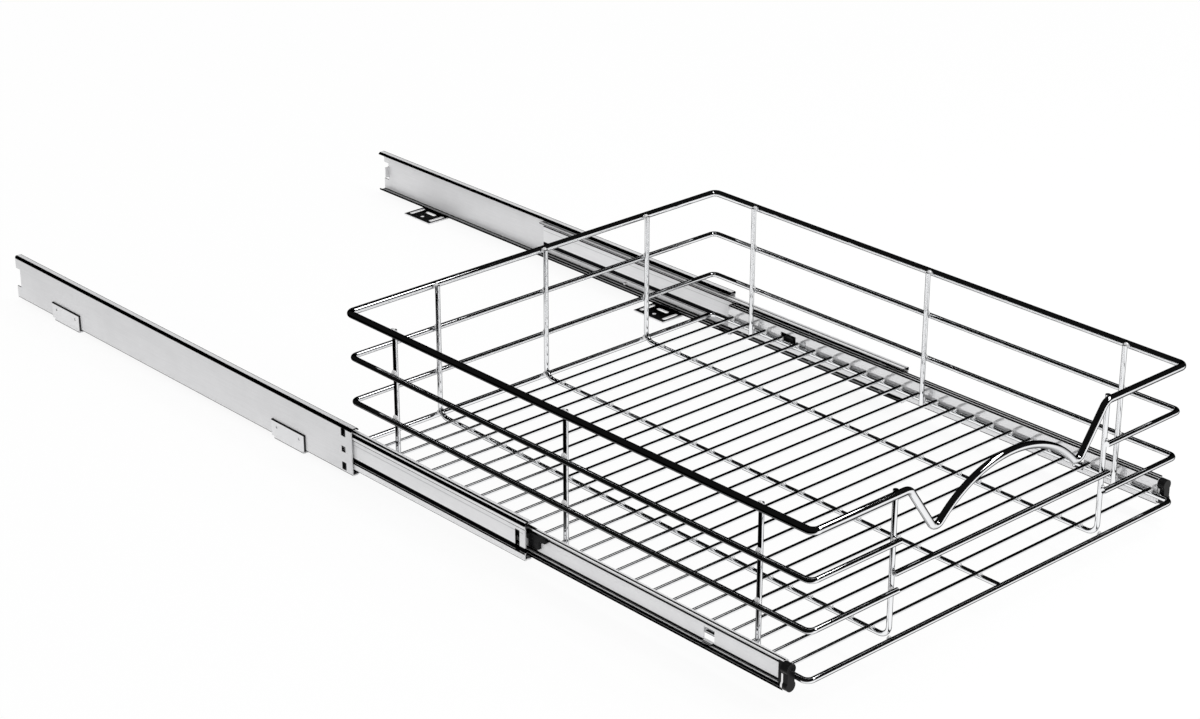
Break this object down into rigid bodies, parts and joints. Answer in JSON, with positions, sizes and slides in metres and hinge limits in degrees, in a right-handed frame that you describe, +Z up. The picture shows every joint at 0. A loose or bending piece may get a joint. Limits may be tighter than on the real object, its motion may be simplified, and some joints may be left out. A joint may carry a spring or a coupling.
{
  "type": "pull-out wire drawer",
  "caption": "Chrome wire drawer basket with a wave-shaped front handle, on a pair of full-extension ball-bearing slides with floor brackets, shown pulled out.",
  "frame": {"origin": "centre of the brackets' screw slots, on the cabinet floor; midway between the slides and at half their length", "axes": "+X to the right seen from the front, +Y from the drawer's front to the back of the cabinet, +Z up"},
  "size_m": [0.4796, 1.103, 0.1543],
  "materials": {
    "wire_chrome": "polished plate",
    "slide_zinc": "bright zinc plate",
    "bracket_zinc": "satin zinc plate",
    "cage_steel": "plain rolled",
    "ball_steel": "ground and polished",
    "rivet_steel": "zinc plate",
    "black_plastic": "smooth moulded"
  },
  "bodies": {
    "cabinet_members": {"outer_member_left": "slide_zinc", "outer_member_right": "slide_zinc", "bracket_front_left": "bracket_zinc", "bracket_back_left": "bracket_zinc", "bracket_front_right": "bracket_zinc", "bracket_back_right": "bracket_zinc"},
    "drawer": {"top_rail": "wire_chrome", "handle": "wire_chrome", "upper_ring": "wire_chrome", "lower_ring": "wire_chrome", "front_cross_wire": "wire_chrome", "bottom_ring": "wire_chrome", "floor_grid": "wire_chrome", "hoop_left": "wire_chrome", "hoop_centre": "wire_chrome", "hoop_right": "wire_chrome", "side_uprights_left": "wire_chrome", "side_uprights_right": "wire_chrome", "inner_member_left": "slide_zinc", "inner_member_right": "slide_zinc", "end_cap_left": "black_plastic", "end_cap_right": "black_plastic", "lever_rivet_left": "rivet_steel", "lever_rivet_right": "rivet_steel"},
    "middle_left": {"middle_member_left": "slide_zinc"},
    "outer_race_left": {"outer_cage_left": "cage_steel", "outer_balls_left": "ball_steel"},
    "inner_race_left": {"inner_cage_left": "cage_steel", "inner_balls_left": "ball_steel"},
    "lever_left": {"release_lever_left": "black_plastic"},
    "middle_right": {"middle_member_right": "slide_zinc"},
    "outer_race_right": {"outer_cage_right": "cage_steel", "outer_balls_right": "ball_steel"},
    "inner_race_right": {"inner_cage_right": "cage_steel", "inner_balls_right": "ball_steel"},
    "lever_right": {"release_lever_right": "black_plastic"}
  },
  "joints": [
    {"name": "drawer_slide", "type": "slide", "parent": "cabinet_members", "child": "drawer", "axis": [0, 1, 0], "range_m": [0, 0.523]},
    {"name": "middle_slide_left", "type": "slide", "parent": "cabinet_members", "child": "middle_left", "axis": [0, 1, 0], "range_m": [0, 0.233]},
    {"name": "outer_race_roll_left", "type": "slide", "parent": "cabinet_members", "child": "outer_race_left", "axis": [0, 1, 0], "range_m": [0, 0.1165]},
    {"name": "inner_race_roll_left", "type": "slide", "parent": "cabinet_members", "child": "inner_race_left", "axis": [0, 1, 0], "range_m": [0, 0.378]},
    {"name": "middle_slide_right", "type": "slide", "parent": "cabinet_members", "child": "middle_right", "axis": [0, 1, 0], "range_m": [0, 0.233]},
    {"name": "outer_race_roll_right", "type": "slide", "parent": "cabinet_members", "child": "outer_race_right", "axis": [0, 1, 0], "range_m": [0, 0.1165]},
    {"name": "inner_race_roll_right", "type": "slide", "parent": "cabinet_members", "child": "inner_race_right", "axis": [0, 1, 0], "range_m": [0, 0.378]},
    {"name": "lever_pivot_left", "type": "hinge", "parent": "drawer", "child": "lever_left", "pos_m": [-0.2286, -0.38405, 0.02905], "axis": [1, 0, 0], "range_deg": [0, 2.5], "stiffness_Nm_per_rad": 0.6, "springref_deg": -1.15},
    {"name": "lever_pivot_right", "type": "hinge", "parent": "drawer", "child": "lever_right", "pos_m": [0.2286, -0.38405, 0.02905], "axis": [1, 0, 0], "range_deg": [0, 2.5], "stiffness_Nm_per_rad": 0.6, "springref_deg": -1.15}
  ],
  "couplings": [
    {"joint": "middle_slide_left", "follows": "drawer_slide", "ratio": 0.44551},
    {"joint": "outer_race_roll_left", "follows": "drawer_slide", "ratio": 0.22275},
    {"joint": "inner_race_roll_left", "follows": "drawer_slide", "ratio": 0.72275},
    {"joint": "middle_slide_right", "follows": "drawer_slide", "ratio": 0.44551},
    {"joint": "outer_race_roll_right", "follows": "drawer_slide", "ratio": 0.22275},
    {"joint": "inner_race_roll_right", "follows": "drawer_slide", "ratio": 0.72275}
  ]
}
